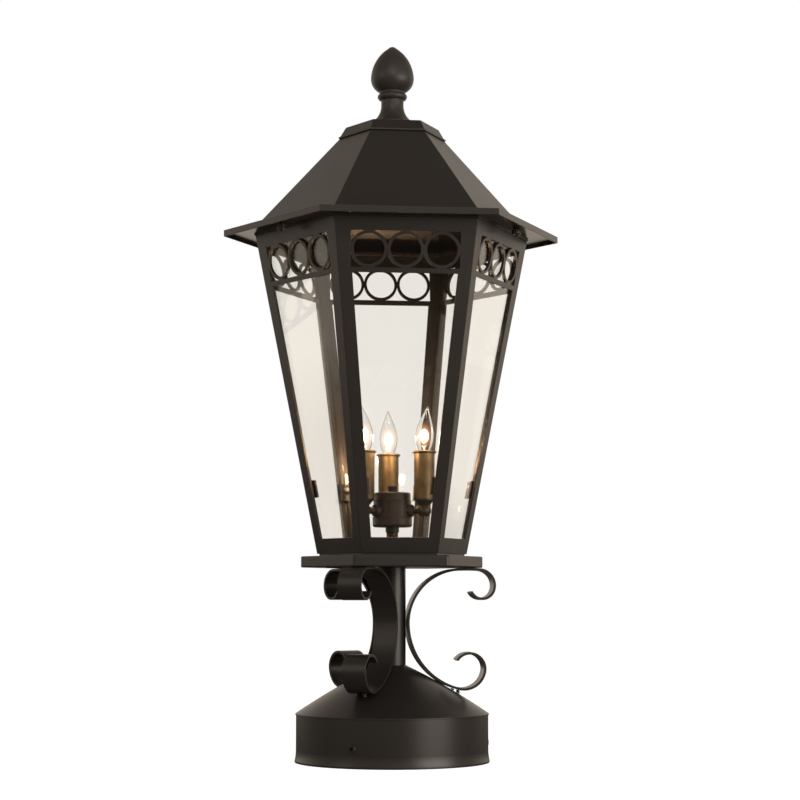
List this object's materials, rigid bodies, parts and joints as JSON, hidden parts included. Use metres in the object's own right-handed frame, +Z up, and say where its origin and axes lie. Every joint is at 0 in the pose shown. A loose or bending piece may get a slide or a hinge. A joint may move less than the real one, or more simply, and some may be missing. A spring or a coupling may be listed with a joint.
{
  "type": "street lantern",
  "caption": "Hexagonal Victorian pier lantern with tapered glazed sides, a pierced ring frieze, a hipped roof with acorn finial, C-scroll brackets and candle bulbs on a round pier fitter.",
  "frame": {"origin": "centre of the pier fitter's foot, on its bottom edge", "axes": "+Z up along the stem; the front glazed side faces -Y; a corner with a scroll points to +X"},
  "size_m": [0.4422, 0.383, 0.9373],
  "materials": {
    "bronze_paint": "satin dark bronze powder coat",
    "screw_paint": "satin dark bronze paint",
    "zinc_hardware": "zinc plated",
    "cluster_paint": "satin bronze paint",
    "clear_glass": "clear float glass",
    "candle_brass": "aged antique brass",
    "socket_plastic": "moulded",
    "bulb_glass": "clear lamp glass, lit warm white"
  },
  "bodies": {
    "lantern": {"base_skirt": "bronze_paint", "base_cone": "bronze_paint", "stem_tube": "bronze_paint", "scroll_foot_pins": "bronze_paint", "platform_tray": "bronze_paint", "platform_lid": "bronze_paint", "cage_floor": "bronze_paint", "cage_brim": "bronze_paint", "scroll_right": "bronze_paint", "scroll_back_left": "bronze_paint", "scroll_front_left": "bronze_paint", "side_plate_front": "bronze_paint", "side_plate_front_right": "bronze_paint", "side_plate_back_right": "bronze_paint", "side_plate_back": "bronze_paint", "side_plate_back_left": "bronze_paint", "side_plate_front_left": "bronze_paint", "set_screws": "zinc_hardware", "glass_clips": "zinc_hardware", "glass_clip_studs": "zinc_hardware", "glass_clip_nuts": "zinc_hardware", "cluster_pipe_nut": "zinc_hardware", "cluster_pipe": "zinc_hardware", "cluster_sleeve": "cluster_paint", "cluster_collar": "cluster_paint", "cluster_cup": "cluster_paint", "cluster_barrel": "cluster_paint", "cluster_lid": "cluster_paint", "cluster_knob": "cluster_paint", "candle_arm_back": "cluster_paint", "candle_arm_front_left": "cluster_paint", "candle_arm_front_right": "cluster_paint", "candle_cup_back": "cluster_paint", "candle_cup_front_left": "cluster_paint", "candle_cup_front_right": "cluster_paint", "glass_front": "clear_glass", "glass_front_right": "clear_glass", "glass_back_right": "clear_glass", "glass_back": "clear_glass", "glass_back_left": "clear_glass", "glass_front_left": "clear_glass", "candle_cover_back": "candle_brass", "candle_cover_front_left": "candle_brass", "candle_cover_front_right": "candle_brass", "bulb_socket_back": "socket_plastic", "bulb_socket_front_left": "socket_plastic", "bulb_socket_front_right": "socket_plastic"},
    "roof": {"roof_brim": "bronze_paint", "roof_shell": "bronze_paint", "roof_cap": "bronze_paint", "finial_rod": "zinc_hardware", "finial_rod_washer": "zinc_hardware", "finial_rod_nut": "zinc_hardware"},
    "finial": {"finial": "bronze_paint"},
    "roof_screw_back": {"roof_screw_back": "screw_paint"},
    "roof_screw_front_left": {"roof_screw_front_left": "screw_paint"},
    "roof_screw_front_right": {"roof_screw_front_right": "screw_paint"},
    "bulb_back": {"bulb_back": "bulb_glass"},
    "bulb_front_left": {"bulb_front_left": "bulb_glass"},
    "bulb_front_right": {"bulb_front_right": "bulb_glass"}
  },
  "joints": [
    {"name": "roof_lift", "type": "slide", "parent": "lantern", "child": "roof", "axis": [0, 0, 1], "range_m": [0, 0.25]},
    {"name": "finial_turn", "type": "hinge", "parent": "roof", "child": "finial", "pos_m": [0, 0, 0.83], "axis": [0, 0, 1], "range_deg": [0, 2880]},
    {"name": "roof_screw_back_turn", "type": "hinge", "parent": "lantern", "child": "roof_screw_back", "pos_m": [0, 0.17355, 0.68], "axis": [0, 0, 1], "range_deg": [-1440, 0]},
    {"name": "roof_screw_front_left_turn", "type": "hinge", "parent": "lantern", "child": "roof_screw_front_left", "pos_m": [-0.1503, -0.08678, 0.68], "axis": [0, 0, 1], "range_deg": [-1440, 0]},
    {"name": "roof_screw_front_right_turn", "type": "hinge", "parent": "lantern", "child": "roof_screw_front_right", "pos_m": [0.1503, -0.08678, 0.68], "axis": [0, 0, 1], "range_deg": [-1440, 0]},
    {"name": "bulb_back_turn", "type": "hinge", "parent": "lantern", "child": "bulb_back", "pos_m": [0, 0.0451, 0.39], "axis": [0, 0, 1], "range_deg": [0, 1080]},
    {"name": "bulb_front_left_turn", "type": "hinge", "parent": "lantern", "child": "bulb_front_left", "pos_m": [-0.03906, -0.02255, 0.39], "axis": [0, 0, 1], "range_deg": [0, 1080]},
    {"name": "bulb_front_right_turn", "type": "hinge", "parent": "lantern", "child": "bulb_front_right", "pos_m": [0.03906, -0.02255, 0.39], "axis": [0, 0, 1], "range_deg": [0, 1080]}
  ]
}
